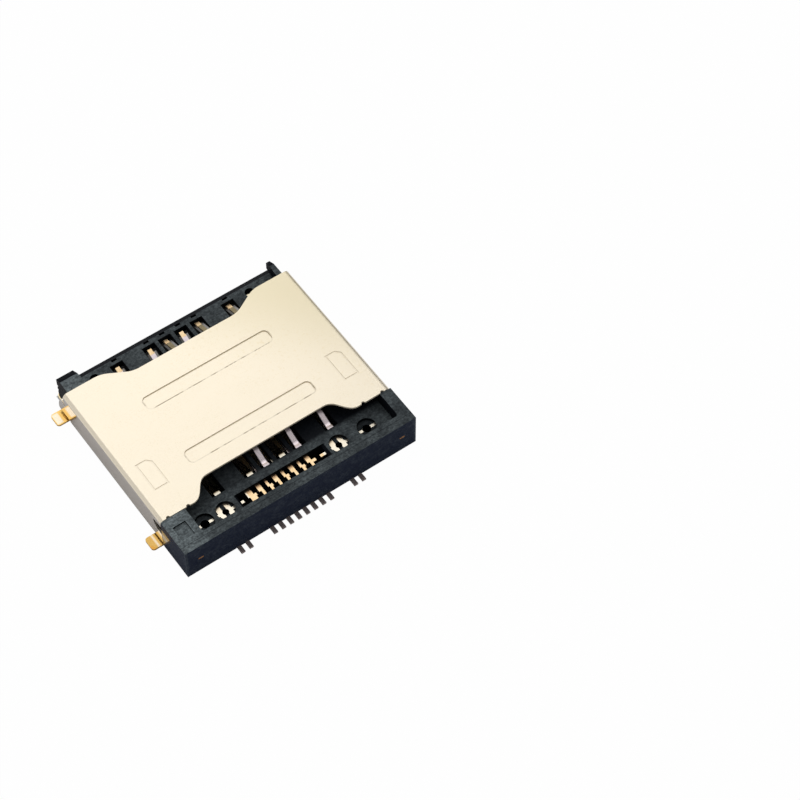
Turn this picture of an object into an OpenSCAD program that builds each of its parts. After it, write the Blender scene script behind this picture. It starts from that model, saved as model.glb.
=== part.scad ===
// Stacked socket for two small cards, soldered flat on a circuit board.
// X runs along the row of solder tails, Y from the tails to the card mouth,
// Z up from the board. Lengths are in millimetres.

/* [Card] */
// Width of the card
card_w = 15; // [14:0.05:16]
// Thickness of the card
card_t = 0.76; // [0.6:0.01:0.9]
// Play beside the card on each side
card_side_play = 0.14; // [0.05:0.01:0.3]
// Play over the card
card_top_play = 0.17; // [0.1:0.01:0.3]
// Leading edge of the card to the inner contact row
row_one = 5; // [4.5:0.05:5.5]
// Distance between the two contact rows
row_gap = 7.62; // [7.2:0.02:8]
// Distance between neighbouring contacts in a row
contact_pitch = 2.54; // [2.4:0.01:2.7]

/* [Housing] */
// Stop wall behind the card
stop_t = 0.83; // [0.7:0.01:1.1]
// Wide side wall of a slot
wall_wide = 1.86; // [1.7:0.02:2.2]
// Thin side wall of a slot
wall_thin = 0.86; // [0.8:0.02:1.1]
// Web between the two slots
web_t = 0.66; // [0.6:0.01:0.8]
// Step of the web under the shell
web_step = 0.05; // [0.02:0.01:0.08]
// Depth of the bare block behind the shell
block_l = 2.9; // [2.85:0.01:3.05]
// Mouth edge in front of the outer windows
mouth_over = 0.8; // [0.7:0.02:1.2]
// Window width around a contact
window_w = 1; // [0.9:0.01:1.04]
// Lead-in at the mouth, along the card
lead_in_l = 1.2; // [0.6:0.05:1.4]
// Lead-in at the mouth, beside the card
lead_in_w = 0.12; // [0.05:0.01:0.18]
// Gap between the housing and the board
board_gap = 0.05; // [0.02:0.01:0.1]
// Corner radius at the card stop
stop_corner = 0.2; // [0.1:0.05:0.3]
// Slope at the mouth edge of the web
mouth_slope = 0.42; // [0.2:0.02:0.5]
// Slope at the mouth edge of the posts
post_slope = 0.58; // [0.3:0.02:0.7]
// Fall of these slopes over their length
mouth_fall = 0.53; // [0.4:0.01:0.7]
// Width of the slits in front of the outer windows
mouth_slit_w = 0.42; // [0.3:0.02:0.5]
// Bar between such a slit and its window
mouth_slit_bar = 0.22; // [0.16:0.01:0.26]
// Diameter of the core pin holes at the mouth
mouth_pin_d = 0.7; // [0.6:0.02:0.9]
// Distance of these core pins from the middle
mouth_pin_x = 6.2; // [6:0.05:6.4]
// Distance of these core pins from the mouth
mouth_pin_y = 1.03; // [0.95:0.01:1.1]
// Depth of the square panel on the wide wall
panel_depth = 0.14; // [0.05:0.01:0.2]

/* [Lead frame] */
// Sheet thickness of the contacts
lead_t = 0.15; // [0.1:0.01:0.18]
// Width of a buried lead
lead_w = 0.2; // [0.16:0.01:0.24]
// Width of a lead beside the tie bars
lead_wide = 0.34; // [0.3:0.01:0.4]
// Width of a solder tail
tail_w = 0.3; // [0.25:0.01:0.36]
// Distance between neighbouring tails
tail_pitch = 0.635; // [0.6:0.005:0.66]
// Tail length behind the housing
tail_out = 0.54; // [0.4:0.02:0.9]
// Width of a spring at its root
spring_w = 0.44; // [0.36:0.01:0.5]
// Width of the spring nose
nose_w = 0.32; // [0.26:0.01:0.36]
// Width of a spring over its two ears
ear_w = 0.7; // [0.5:0.01:0.74]
// Length of the ears
ear_l = 0.9; // [0.5:0.05:1.1]
// Ears behind the tip of the nose
ear_setback = 0.33; // [0.28:0.01:0.4]
// Ears below the ridge of the spring
ear_drop = 0.07; // [0.03:0.01:0.1]
// Flat stretch at the root of a spring
root_flat = 0.5; // [0.3:0.02:0.6]
// Root of a spring to its crest
beam_l = 2.66; // [2.5:0.02:2.68]
// Crest of a spring to its nose
nose_l = 2.3; // [1.6:0.02:2.4]
// Free space in front of the nose
nose_gap = 0.1; // [0.06:0.01:0.4]
// Free height of a crest over the web
crest_rise = 0.57; // [0.4:0.01:0.62]
// Tie bar line from the rear face
tie_y = 1.9; // [1.85:0.01:1.95]
// Width of the tie bars
tie_w = 0.22; // [0.18:0.01:0.28]
// Width of the tie bar slot
tie_slot_w = 1.16; // [1:0.02:1.2]
// Slot length beyond its outermost lead on the left
tie_slot_over = 1.04; // [1:0.02:1.2]
// Slot length beyond its outermost lead on the right
tie_slot_over_right = 1.18; // [1:0.02:1.2]
// Bevel at both ends of this slot
tie_slot_bevel = 0.18; // [0.1:0.01:0.25]
// Reach of the right tie bar end into the slot
tie_end_l = 0.44; // [0.3:0.02:0.46]
// Reach of the left tie bar end into the slot
tie_end_left = 0.24; // [0.2:0.01:0.3]
// Tie bar remain on the left of an inner lead
stub_left = 0.24; // [0.24:0.01:0.36]
// Tie bar remain on the right of an outer lead
stub_right = 0.18; // [0.18:0.01:0.24]
// Tie bar remain on the right of the last lead
stub_end = 0.38; // [0.3:0.01:0.42]
// Side step of the outer leads at the tie bar line
lead_step = 0.1; // [0.06:0.01:0.12]
// Diameter of the holes punched in the outer pockets
punch_d = 0.62; // [0.5:0.01:0.7]
// Diameter of the holes punched between two leads
punch_small_d = 0.46; // [0.42:0.01:0.52]
// Diameter of the round pockets on the upper side
pocket_d = 1.34; // [1.2:0.02:1.4]
// Diameter of the round holes on the lower side
under_hole_d = 0.8; // [0.72:0.02:0.9]
// Distance of the outer pockets from the middle
pocket_out = 6.36; // [6.25:0.02:6.5]

/* [Shell] */
// Sheet thickness of the shell
shell_t = 0.15; // [0.1:0.01:0.2]
// Inside radius of the shell bends
bend_r = 0.2; // [0.15:0.01:0.25]
// Gap between shell and housing
shell_gap = 0.02; // [0.01:0.01:0.04]
// Upper mouth edge behind the housing mouth
top_setback = 1.65; // [1.2:0.01:1.8]
// Lower mouth edge behind the housing mouth
under_setback = 2.25; // [2:0.05:2.4]
// Depth of the upper mouth recess
top_recess = 1.05; // [0.8:0.05:1.2]
// Depth of the upper rear opening
rear_opening = 1.35; // [1.1:0.05:1.45]
// Lower wings in front of the housing mouth
wing_out = 0.47; // [0.4:0.01:1]
// Depth of the embossed ribs
rib_depth = 0.08; // [0.05:0.01:0.1]
// Length of the embossed ribs
rib_l = 9.9; // [9:0.1:11]
// Width of the embossed ribs
rib_w = 1.1; // [0.9:0.05:1.3]
// Half width of the upper rear opening
rear_half = 4; // [3.8:0.05:4.2]
// Half width of the upper mouth recess
recess_half = 4.15; // [3.9:0.05:4.4]
// Half width between the lower wings
wing_half = 3.25; // [3:0.05:3.5]
// Length of the slits at the rear of the walls
slit_l = 0.97; // [0.7:0.01:1.1]
// Reach of the wall flaps past the upper sheet
flap_out = 0.88; // [0.6:0.02:1]
// Distance of the card outlines from the middle
mark_x = 7.45; // [7.2:0.05:7.7]
// Width of the card outlines
mark_w = 1.15; // [0.9:0.05:1.3]
// Length of the card outlines
mark_l = 2.4; // [2:0.1:2.8]
// Width of the pressed outline
mark_line = 0.12; // [0.08:0.01:0.16]
// Width of the seam
seam_w = 0.04; // [0.02:0.01:0.06]
// Reach of the seam tongues
tongue_l = 1.15; // [0.9:0.05:1.4]

/* [Hold-downs] */
// Sheet thickness of the hold-downs
nail_t = 0.15; // [0.12:0.01:0.18]
// Length of a foot along the side
nail_l = 1.06; // [0.9:0.02:1.1]
// Reach of a foot beside the shell
nail_out = 0.8; // [0.6:0.05:1]
// Height of the buried leg
nail_leg = 1.1; // [0.8:0.05:1.1]
// Corner radius of a foot
nail_corner = 0.22; // [0.1:0.02:0.3]

/* [Hidden] */
$fn = 48;
eps = 0.01;
far = 3;
slot_w = card_w + 2 * card_side_play;
slot_h = card_t + card_top_play;
body_w = slot_w + wall_wide + wall_thin;
body_h = web_t + 2 * (slot_h + shell_t);
slot_shift = (wall_wide - wall_thin) / 2;
z_bot = board_gap;
z_top = z_bot + body_h;
z_mid = z_bot + body_h / 2;
web_lo = z_mid - web_t / 2;
web_hi = z_mid + web_t / 2;
row_y = [stop_t + row_one, stop_t + row_one + row_gap];
root_y = [row_y[0] - beam_l, row_y[1] - beam_l];
window_end = [row_y[0] + nose_l + nose_gap, row_y[1] + nose_l + nose_gap];
body_l = window_end[1] + mouth_over;
core_w = body_w - 2 * (shell_t + shell_gap);
shell_y = block_l + 0.05;
top_mouth_y = body_l - top_setback;
top_open_y = shell_y + rear_opening;
under_y = top_open_y;
wing_y = body_l + wing_out;
wing_x = body_w / 2 - 0.45;
post_x = wing_x - 1.2;
post_y0 = top_mouth_y - 0.55;
post_y1 = body_l - 0.35;
mouth_half = wing_x;
nail_y = [block_l + 0.05, top_mouth_y - 0.2];
nail_leg_x = body_w / 2 - 0.57;
y_shift = -(wing_y - tail_out) / 2;
stub_step = 0.12;
wall_open_z = z_top - 0.6;
column_x = [for (c = [-1.75, -0.75, -0.25, 0.25, 0.75, 1.75]) c * contact_pitch];
slot_lead_x = [column_x[1] - tail_pitch, column_x[4]];
tie_slot_x0 = slot_lead_x[0] - tie_slot_over;
tie_slot_x1 = slot_lead_x[1] + tie_slot_over_right;
pocket_x = [-pocket_out, column_x[0] - tail_pitch / 2, column_x[5] - tail_pitch / 2, pocket_out];
link_x = body_w / 2 - 1.1;
seam_y0 = under_y;
seam_y1 = body_l - under_setback;

function unit(v) = v / norm(v);
function left_of(d) = [-d[1], d[0]];

// Points of a quadratic curve, both ends included.
function curve(a, b, c, n) = [for (i = [0:n]) let (t = i / n)
    (1 - t) * (1 - t) * a + 2 * t * (1 - t) * b + t * t * c];

// A path with its inner corners rounded.
function soften(p, r, n) = concat([p[0]], [for (i = [1:len(p) - 2])
    let (a = p[i] - unit(p[i] - p[i - 1]) * min(r, norm(p[i] - p[i - 1]) / 2.2),
         c = p[i] + unit(p[i + 1] - p[i]) * min(r, norm(p[i + 1] - p[i]) / 2.2))
    each curve(a, p[i], c, n)], [p[len(p) - 1]]);

// Offset of a path point, with mitred corners.
function side_point(p, i, h) = let (
    d0 = i == 0 ? unit(p[1] - p[0]) : unit(p[i] - p[i - 1]),
    d1 = i == len(p) - 1 ? d0 : unit(p[i + 1] - p[i]),
    n0 = left_of(d0),
    n1 = left_of(d1))
    p[i] + h * (n0 + n1) / (1 + n0 * n1);

// Outline of a strip of even width along a path.
function strip(p, w) = concat(
    [for (i = [0:len(p) - 1]) side_point(p, i, w / 2)],
    [for (i = [len(p) - 1:-1:0]) side_point(p, i, -w / 2)]);

module place() translate([0, y_shift, 0]) children();

// A drawing in Y and Z pulled along X.
module along_x(x0, x1) translate([x0, 0, 0]) rotate([90, 0, 90]) linear_extrude(x1 - x0) children();

// A drawing in X and Z pulled along Y.
module along_y(y0, y1) translate([0, y1, 0]) rotate([90, 0, 0]) linear_extrude(y1 - y0) children();

// A drawing in X and Y pulled up between two heights.
module slab(z0, z1) translate([0, 0, z0]) linear_extrude(z1 - z0) children();

module block(x0, x1, y0, y1, z0, z1) translate([x0, y0, z0]) cube([x1 - x0, y1 - y0, z1 - z0]);

// Half a turn about the middle line of the socket.
module turned() translate([0, 0, z_mid]) rotate([0, 180, 0]) translate([0, 0, -z_mid]) children();

module round_rect(w, h, r) {
    square([w - 2 * r, h], center = true);
    square([w, h - 2 * r], center = true);
    for (sx = [-1, 1], sy = [-1, 1])
        translate([sx * (w / 2 - r), sy * (h / 2 - r)]) circle(r);
}

// Plan of a card slot, wider at the mouth.
module slot_plan() {
    x0 = slot_shift - slot_w / 2;
    x1 = slot_shift + slot_w / 2;
    y1 = body_l - lead_in_l;
    translate([slot_shift, (stop_t + y1) / 2]) round_rect(slot_w, y1 - stop_t, stop_corner);
    polygon([[x0, y1 - 1], [x1, y1 - 1], [x1, y1], [x1 + lead_in_w, body_l + eps],
        [x0 - lead_in_w, body_l + eps], [x0, y1]]);
}

// Side view of a spring from its root to its nose, bent up.
function spring_path(row) = let (
    y0 = root_y[row],
    yc = row_y[row],
    h = web_t / 2 + crest_rise - lead_t / 2,
    a = [yc - 0.55, z_mid + h * 0.88],
    b = [y0 + root_flat, z_mid],
    c = [yc + 0.5, z_mid + h * 0.84])
    concat([[y0 - 0.15, z_mid]], curve(b - [0.15, 0], b, b + 0.15 * unit(a - b), 3),
        curve(a, [yc, z_mid + h * 1.14], c, 8), [[yc + nose_l, z_mid + 0.02]]);

// Plan of the ridge of a spring, from its root to its nose.
module ridge_plan(x, row) {
    y0 = root_y[row] - 0.15 - eps;
    y1 = row_y[row] + nose_l + eps;
    s = spring_w / 2;
    n = nose_w / 2;
    polygon([[x - s, y0], [x + s, y0], [x + n, y1 - ear_setback - ear_l], [x + n, y1], [x - n, y1],
        [x - n, y1 - ear_setback - ear_l]]);
}

// Plan of the ears behind the nose of a spring.
module ear_plan(x, row) {
    y1 = row_y[row] + nose_l - ear_setback;
    y0 = y1 - ear_l;
    n = nose_w / 2;
    e = ear_w / 2;
    polygon([[x - n, y0 - 0.2], [x + n, y0 - 0.2], [x + e, y0], [x + e, y1], [x - e, y1], [x - e, y0]]);
}

// A spring with a pressed ridge and lower ears on both sides of it.
module spring(x, row) {
    intersection() {
        along_x(x - ear_w, x + ear_w) polygon(strip(spring_path(row), lead_t));
        slab(-far, z_top + far) ridge_plan(x, row);
    }
    intersection() {
        translate([0, 0, -ear_drop]) along_x(x - ear_w, x + ear_w) polygon(strip(spring_path(row), lead_t));
        slab(-far, z_top + far) ear_plan(x, row);
    }
}

// Tail, rising leg and the first stretch of the lead.
module tail(x) {
    leg_y = stop_t / 2;
    path = [[-tail_out, lead_t / 2], [leg_y, lead_t / 2], [leg_y, z_mid], [leg_y + 0.6, z_mid]];
    along_x(x - tail_w / 2, x + tail_w / 2) polygon(strip(soften(path, 0.22, 4), lead_t));
}

// Where the lead of a contact crosses the tie bar line.
function lead_x(column, row) = column_x[column] - (row == 0 ? 0 : tail_pitch);

// Flat lead between the tail and the root of the spring, wide where it is broad.
module lead_plan(x, row, broad) {
    y0 = stop_t / 2 + 0.5;
    y1 = root_y[row];
    y_broad = broad ? y0 : tie_y + stub_step - tie_w / 2;
    if (row == 0) {
        translate([x - lead_w / 2, y0]) square([lead_w, y1 - y0]);
        x_broad = broad ? x - lead_wide / 2 : x + lead_w / 2 - lead_wide;
        translate([x_broad, y_broad]) square([lead_wide, y1 - y_broad]);
    }
    else {
        jog = window_end[0] + 0.5;
        step_x = x - tail_pitch - lead_step;
        path = [[step_x, tie_y], [step_x, jog], [x, jog + 1.1], [x, y1 - 0.1]];
        polygon(strip(soften(path, 0.3, 3), lead_w));
        translate([x - tail_pitch - lead_w / 2, y0]) square([lead_w, tie_y + tie_w / 2 - y0]);
        if (broad)
            translate([x - tail_pitch - lead_wide / 2, y0]) square([lead_wide, tie_y + tie_slot_w / 2 - y0]);
    }
    translate([x - spring_w / 2, y1 - 0.6]) square([spring_w, 0.6]);
}

// A tie bar remain from x0 to x1, moved off the tie bar line by a step.
module tie_remain(x0, x1, step) translate([x0, tie_y - tie_w / 2 + step]) square([x1 - x0, tie_w]);

// One contact with the drawing of its tie bar remains as children.
module contact(column, row, up, broad) {
    x = column_x[column];
    difference() {
        union() {
            tail(lead_x(column, row));
            slab(z_mid - lead_t / 2, z_mid + lead_t / 2) {
                lead_plan(x, row, broad);
                children();
            }
            if (up)
                spring(x, row);
            else
                translate([0, 0, 2 * z_mid]) mirror([0, 0, 1]) spring(x, row);
        }
        punches();
    }
}

// Holes punched through the tie bars after moulding.
module punches() for (i = [0:3])
    translate([pocket_x[i], tie_y, z_mid - web_t])
        cylinder(d = i == 0 || i == 3 ? punch_d : punch_small_d, h = 2 * web_t);

// A contact whose tie bars were cut in the long slot.
module slot_contact(column, row, up) {
    x = lead_x(column, row);
    contact(column, row, up, false) {
        if (row == 0)
            tie_remain(x - stub_left, x, stub_step);
        else
            tie_remain(x, x + stub_right, 0);
        children();
    }
}

// A contact whose tie bars were punched in the round pockets.
module pocket_contact(column, row, up, x0, x1) contact(column, row, up, true) tie_remain(x0, x1, 0);

module contact_upper_c1() pocket_contact(5, 0, true, pocket_x[2], pocket_x[3]);
module contact_upper_c2() slot_contact(4, 0, true) tie_remain(column_x[4], column_x[4] + stub_end, 0);
module contact_upper_c3() slot_contact(2, 0, true);
module contact_upper_c5() pocket_contact(5, 1, true, tie_slot_x1 - tie_end_l, pocket_x[2]);
module contact_upper_c6() slot_contact(4, 1, true);
module contact_upper_c7() slot_contact(2, 1, true);
module contact_lower_c1() pocket_contact(0, 0, false, pocket_x[1], tie_slot_x0 + tie_end_left);
module contact_lower_c2() slot_contact(1, 0, false);
module contact_lower_c3() slot_contact(3, 0, false);
module contact_lower_c5() pocket_contact(0, 1, false, pocket_x[0], pocket_x[1]);
module contact_lower_c6() slot_contact(1, 1, false)
    for (half = [0, 1])
        translate([slot_lead_x[0] - lead_wide - half * lead_step, tie_y + (half - 1) * tie_slot_w / 2])
            square([lead_wide, tie_slot_w / 2]);
module contact_lower_c7() slot_contact(3, 1, false);

// Cut-off end of the lead frame between an outer pocket and the rear face.
module link(side) difference() {
    slab(z_mid - lead_t / 2, z_mid + lead_t / 2) {
        x0 = side > 0 ? pocket_x[3] : -link_x;
        x1 = side > 0 ? link_x : pocket_x[0];
        translate([x0, tie_y - tie_w / 2]) square([x1 - x0, tie_w]);
        translate([side * link_x - 0.2, 0]) square([0.4, tie_y + tie_w / 2]);
    }
    punches();
}

// Hold-down with a flat foot on the board and a leg pressed up into the housing.
module nail(y0) intersection() {
    outer = body_w / 2 + nail_out;
    path = [[outer, nail_t / 2], [nail_leg_x, nail_t / 2], [nail_leg_x, nail_leg]];
    along_y(y0, y0 + nail_l) polygon(strip(soften(path, 0.2, 4), nail_t));
    slab(-far, z_top) {
        translate([(outer + nail_leg_x) / 2 - 0.5, y0 + nail_l / 2])
            round_rect(outer - nail_leg_x + 1, nail_l, nail_corner);
    }
}

module left() mirror([1, 0, 0]) children();

// Shallow relief of the web in the upper slot.
module web_relief() block(slot_shift - slot_w / 2, slot_shift + slot_w / 2, root_y[0] + 0.37, root_y[1],
    web_hi - web_step, web_hi + eps);

// Wedge taken off an edge at height z along the mouth.
module slope_cut(l, z) along_x(-body_w, body_w) polygon([[body_l - l, z], [body_l - l, z + eps],
    [body_l + eps, z + eps], [body_l + eps, z - mouth_fall * l], [body_l, z - mouth_fall * l]]);

// Walls, web and block of the moulding, still without its metal.
module moulding() difference() {
    union() {
        block(-body_w / 2, body_w / 2, 0, block_l, z_bot, z_top);
        along_y(block_l - eps, body_l) translate([0, z_mid])
            round_rect(core_w, body_h - 2 * shell_t, bend_r);
        for (s = [0, 1]) mirror([s, 0, 0])
            block(post_x + 0.06, mouth_half, post_y0 + 0.06, post_y1 - 0.06, z_bot, web_lo);
    }
    slab(web_hi, z_top + far) slot_plan();
    turned() slab(web_hi, z_top + far) slot_plan();
    // Narrower walls in front of the shell.
    for (s = [0, 1]) mirror([s, 0, 0])
        block(mouth_half, body_w, top_mouth_y + 0.05, body_l + far, -far, z_top + far);
    // Sloped mouth edge of the web and of the posts.
    for (k = [0, 1]) translate([0, 0, k * 2 * z_mid]) mirror([0, 0, k]) {
        slope_cut(mouth_slope, web_hi);
        slope_cut(post_slope, z_top - shell_t);
    }
    // Web a little thinner under the shell.
    web_relief();
    turned() web_relief();
    // Contact windows, and a slit in front of each outer one.
    for (x = column_x) {
        for (row = [0, 1])
            block(x - window_w / 2, x + window_w / 2, root_y[row], window_end[row], web_lo - eps, web_hi + eps);
        block(x + 0.04 - mouth_slit_w / 2, x + 0.04 + mouth_slit_w / 2, window_end[1] + mouth_slit_bar,
            window_end[1] + mouth_slit_bar + 0.17, web_lo - eps, web_hi + eps);
    }
    // Slot and pockets where the tie bars were cut.
    block(tie_slot_x0, tie_slot_x1, tie_y - tie_slot_w / 2, tie_y + tie_slot_w / 2, web_lo - eps, web_hi + eps);
    along_y(tie_y - tie_slot_w / 2, tie_y + tie_slot_w / 2) polygon([
        [tie_slot_x0 - tie_slot_bevel, web_hi], [tie_slot_x0 - tie_slot_bevel, web_hi + eps],
        [tie_slot_x1 + tie_slot_bevel, web_hi + eps], [tie_slot_x1 + tie_slot_bevel, web_hi],
        [tie_slot_x1, web_hi - tie_slot_bevel], [tie_slot_x0, web_hi - tie_slot_bevel]]);
    for (x = pocket_x) {
        translate([x, tie_y, z_mid + lead_t / 2]) cylinder(d = pocket_d, h = web_t);
        translate([x, tie_y, z_mid - lead_t / 2 - web_t]) cylinder(d = under_hole_d, h = web_t);
    }
    punches();
    // Core pin holes.
    for (x = [-1, 1]) {
        translate([x * mouth_pin_x, body_l - mouth_pin_y, web_lo - eps])
            cylinder(d = mouth_pin_d, h = web_t + 2 * eps);
        translate([x * (body_w / 2 - 1.3), block_l + 0.62, z_bot - eps])
            cylinder(d = 0.64, h = web_lo - z_bot + 0.12);
    }
    translate([5.55, block_l + 0.6, web_lo - eps]) cylinder(d = 0.4, h = 0.15);
    for (p = [[7.4 - card_side_play, 2.55, 0], [4.77, 2.34, 0]])
        translate([min(p[0], slot_w / 2 - slot_shift - 0.6), p[1], web_lo - eps]) difference() {
            cylinder(d = 1, h = 0.03);
            translate([0, 0, -eps]) cylinder(d = 0.9, h = 0.05);
        }
    // Shallow square panel beside the pockets.
    block(-body_w / 2 + 0.42, -body_w / 2 + 1.38, 0.98, 2.14, z_top - panel_depth, z_top + eps);
}

module metal() {
    contact_upper_c1();
    contact_upper_c2();
    contact_upper_c3();
    contact_upper_c5();
    contact_upper_c6();
    contact_upper_c7();
    contact_lower_c1();
    contact_lower_c2();
    contact_lower_c3();
    contact_lower_c5();
    contact_lower_c6();
    contact_lower_c7();
    for (s = [0, 1], y = nail_y) mirror([s, 0, 0]) nail(y);
    link(-1);
    link(1);
}

// Area removed behind the upper sheet.
module top_rear_cut() {
    x = rear_half;
    right = soften([[x + 5.4, shell_y - 0.4], [x + 2.3, shell_y - 0.02], [x + 1.85, shell_y + 0.22],
        [x + 1.05, top_open_y], [x, top_open_y]], 0.55, 5);
    pts = concat([[x, shell_y - 1]], [for (i = [len(right) - 1:-1:0]) right[i]]);
    for (s = [0, 1]) mirror([s, 0, 0]) {
        polygon(pts);
        for (x = [rear_half + 2.85, body_w / 2 - 0.62]) translate([x, shell_y]) circle(0.14);
    }
    translate([-x - 0.1, shell_y - 1]) square([2 * x + 0.2, top_open_y - shell_y + 1]);
}

// Area removed in front of the upper sheet.
module top_mouth_cut() {
    x0 = recess_half;
    x1 = x0 + 1.9;
    x2 = x0 + 2.85;
    y0 = top_mouth_y - top_recess;
    y1 = top_mouth_y;
    polygon(concat([[-x2, body_l + 2]],
        soften([[-x2, y1], [-x1, y1], [-x0, y0], [x0, y0], [x1, y1], [x2, y1]], 0.5, 4),
        [[x2, body_l + 2]]));
}

// Area removed at both ends of the side walls, drawn in Y and Z: a curved slit
// at the rear, and all but a rounded flap in front of the upper sheet.
module wall_cut() {
    y0 = shell_y;
    y1 = top_mouth_y;
    z = wall_open_z;
    polygon(concat([[y0 - 1, z]], soften([[y0, z], [y0 + slit_l, z - 0.16], [y0 + slit_l - 0.12, z - 0.62],
        [y0 + slit_l - 0.42, z - 0.9], [y0, z - 0.9]], 0.12, 3), [[y0 - 1, z - 0.9]]));
    polygon(concat([[y1, z_top + 1]], soften([[y1, z], [y1 - 0.1, z - 0.66], [y1 + 0.12, z - 0.32],
        [y1 + 0.36, z - 0.24], [y1 + flap_out - 0.22, z - 0.66], [y1 + flap_out, z - 1.4],
        [y1 + flap_out, z_bot]], 0.12, 3), [[wing_y + 1, z_bot], [wing_y + 1, z_top + 1]]));
}

// Area removed in front of the lower sheet and its wings.
module under_mouth_cut() {
    x = wing_half;
    half = [[x, seam_y1], [x + 1, seam_y1 + 0.5], [x + 2.6, wing_y], [wing_x, wing_y],
        [wing_x, post_y1 - 0.8], [body_w / 2 + 1, post_y1 - 0.8]];
    path = concat([for (i = [len(half) - 1:-1:0]) [-half[i][0], half[i][1]]], half);
    polygon(concat([[-body_w / 2 - 1, wing_y + 2]], soften(path, 0.4, 5), [[body_w / 2 + 1, wing_y + 2]]));
}

// Line of the seam with its two flared tongues.
function seam_path() = let (
    t = -tongue_l,
    m = (seam_y0 + seam_y1) / 2)
    concat([[0, seam_y0 - 1]],
        soften([[0, seam_y0], [0, m - 2.6], [t, m - 2.95], [t, m - 0.95], [0, m - 1.25],
            [0, m + 1.15], [t, m + 0.85], [t, m + 2.85], [0, m + 2.5], [0, seam_y1]], 0.25, 4),
        [[0, seam_y1 + 1]]);

// Outline of a plain card with one clipped corner.
module card_outline(w, l, c) polygon([[-w / 2, -l / 2], [w / 2, -l / 2], [w / 2, l / 2 - c],
    [w / 2 - c, l / 2], [-w / 2, l / 2]]);

module rib_plan() for (y = [row_y[0] + 0.25, row_y[1] - 2.25])
    translate([0, y]) round_rect(rib_l, rib_w, 0.36);

// One folded sheet, closed under the socket by the seam.
module folded_sheet() difference() {
    union() {
        difference() {
            along_y(shell_y, wing_y) translate([0, z_mid])
                round_rect(body_w, body_h, bend_r + shell_t);
            along_y(shell_y - 1, wing_y + 1) translate([0, z_mid])
                round_rect(body_w - 2 * shell_t, body_h - 2 * shell_t, bend_r);
        }
        slab(z_top - shell_t - rib_depth, z_top - shell_t + eps) rib_plan();
    }
    slab(z_top - rib_depth, z_top + 1) rib_plan();
    slab(z_mid, z_top + 1) {
        top_rear_cut();
        top_mouth_cut();
    }
    block(shell_t - body_w / 2 - eps, body_w / 2 - shell_t + eps, top_mouth_y, wing_y + 1,
        z_bot + shell_t, z_top + 1);
    for (s = [0, 1]) mirror([s, 0, 0]) along_x(body_w / 2 - shell_t, body_w) wall_cut();
    block(-body_w, body_w, shell_y - 1, under_y, z_bot - 1, z_bot + 0.35);
    for (s = [0, 1]) mirror([s, 0, 0])
        block(post_x, body_w, post_y0, post_y1, z_bot - 1, z_bot + 0.45);
    slab(z_bot - 1, z_bot + shell_t + eps) {
        under_mouth_cut();
        polygon(strip(seam_path(), seam_w));
    }
    for (s = [-1, 1]) translate([s * mark_x, row_y[0] + 0.5]) slab(z_top - 0.03, z_top + 1) difference() {
        card_outline(mark_w, mark_l, 0.35);
        card_outline(mark_w - 2 * mark_line, mark_l - 2 * mark_line, 0.3);
    }
}

module housing() color("#2b2e36") place() difference() {
    moulding();
    metal();
}
module shell() color("#e6dac2") place() folded_sheet();
module upper_contact_c1() color("#e2cfae") place() contact_upper_c1();
module upper_contact_c2() color("#e2cfae") place() contact_upper_c2();
module upper_contact_c3() color("#e2cfae") place() contact_upper_c3();
module upper_contact_c5() color("#e2cfae") place() contact_upper_c5();
module upper_contact_c6() color("#e2cfae") place() contact_upper_c6();
module upper_contact_c7() color("#e2cfae") place() contact_upper_c7();
module lower_contact_c1() color("#e2cfae") place() contact_lower_c1();
module lower_contact_c2() color("#e2cfae") place() contact_lower_c2();
module lower_contact_c3() color("#e2cfae") place() contact_lower_c3();
module lower_contact_c5() color("#e2cfae") place() contact_lower_c5();
module lower_contact_c6() color("#e2cfae") place() contact_lower_c6();
module lower_contact_c7() color("#e2cfae") place() contact_lower_c7();
module hold_down_rear_left() color("#e8c878") place() left() nail(nail_y[0]);
module hold_down_rear_right() color("#e8c878") place() nail(nail_y[0]);
module hold_down_front_left() color("#e8c878") place() left() nail(nail_y[1]);
module hold_down_front_right() color("#e8c878") place() nail(nail_y[1]);
module frame_link_left() color("#d9a860") place() link(-1);
module frame_link_right() color("#d9a860") place() link(1);

housing();
shell();
upper_contact_c1();
upper_contact_c2();
upper_contact_c3();
upper_contact_c5();
upper_contact_c6();
upper_contact_c7();
lower_contact_c1();
lower_contact_c2();
lower_contact_c3();
lower_contact_c5();
lower_contact_c6();
lower_contact_c7();
hold_down_rear_left();
hold_down_rear_right();
hold_down_front_left();
hold_down_front_right();
frame_link_left();
frame_link_right();
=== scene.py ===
import math

import bmesh
import bpy
from bpy.props import FloatProperty, FloatVectorProperty, PointerProperty
from bpy.types import Operator, Panel, PropertyGroup
from mathutils import Matrix, Vector


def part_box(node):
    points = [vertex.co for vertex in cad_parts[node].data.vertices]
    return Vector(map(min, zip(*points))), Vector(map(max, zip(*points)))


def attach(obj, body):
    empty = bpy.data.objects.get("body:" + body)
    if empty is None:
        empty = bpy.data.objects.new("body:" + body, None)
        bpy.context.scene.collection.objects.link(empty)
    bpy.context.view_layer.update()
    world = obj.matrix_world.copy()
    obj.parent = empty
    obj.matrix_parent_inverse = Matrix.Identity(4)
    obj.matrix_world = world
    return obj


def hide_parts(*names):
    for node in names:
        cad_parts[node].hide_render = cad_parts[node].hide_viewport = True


bl_info = {
    "name": "Stacked card socket",
    "version": (1, 0, 0),
    "blender": (4, 5, 0),
    "location": "3D View > Sidebar > Socket",
    "description": "Finishes the pieces of a stacked card socket on its packed frame",
    "category": "Object",
}

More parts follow.
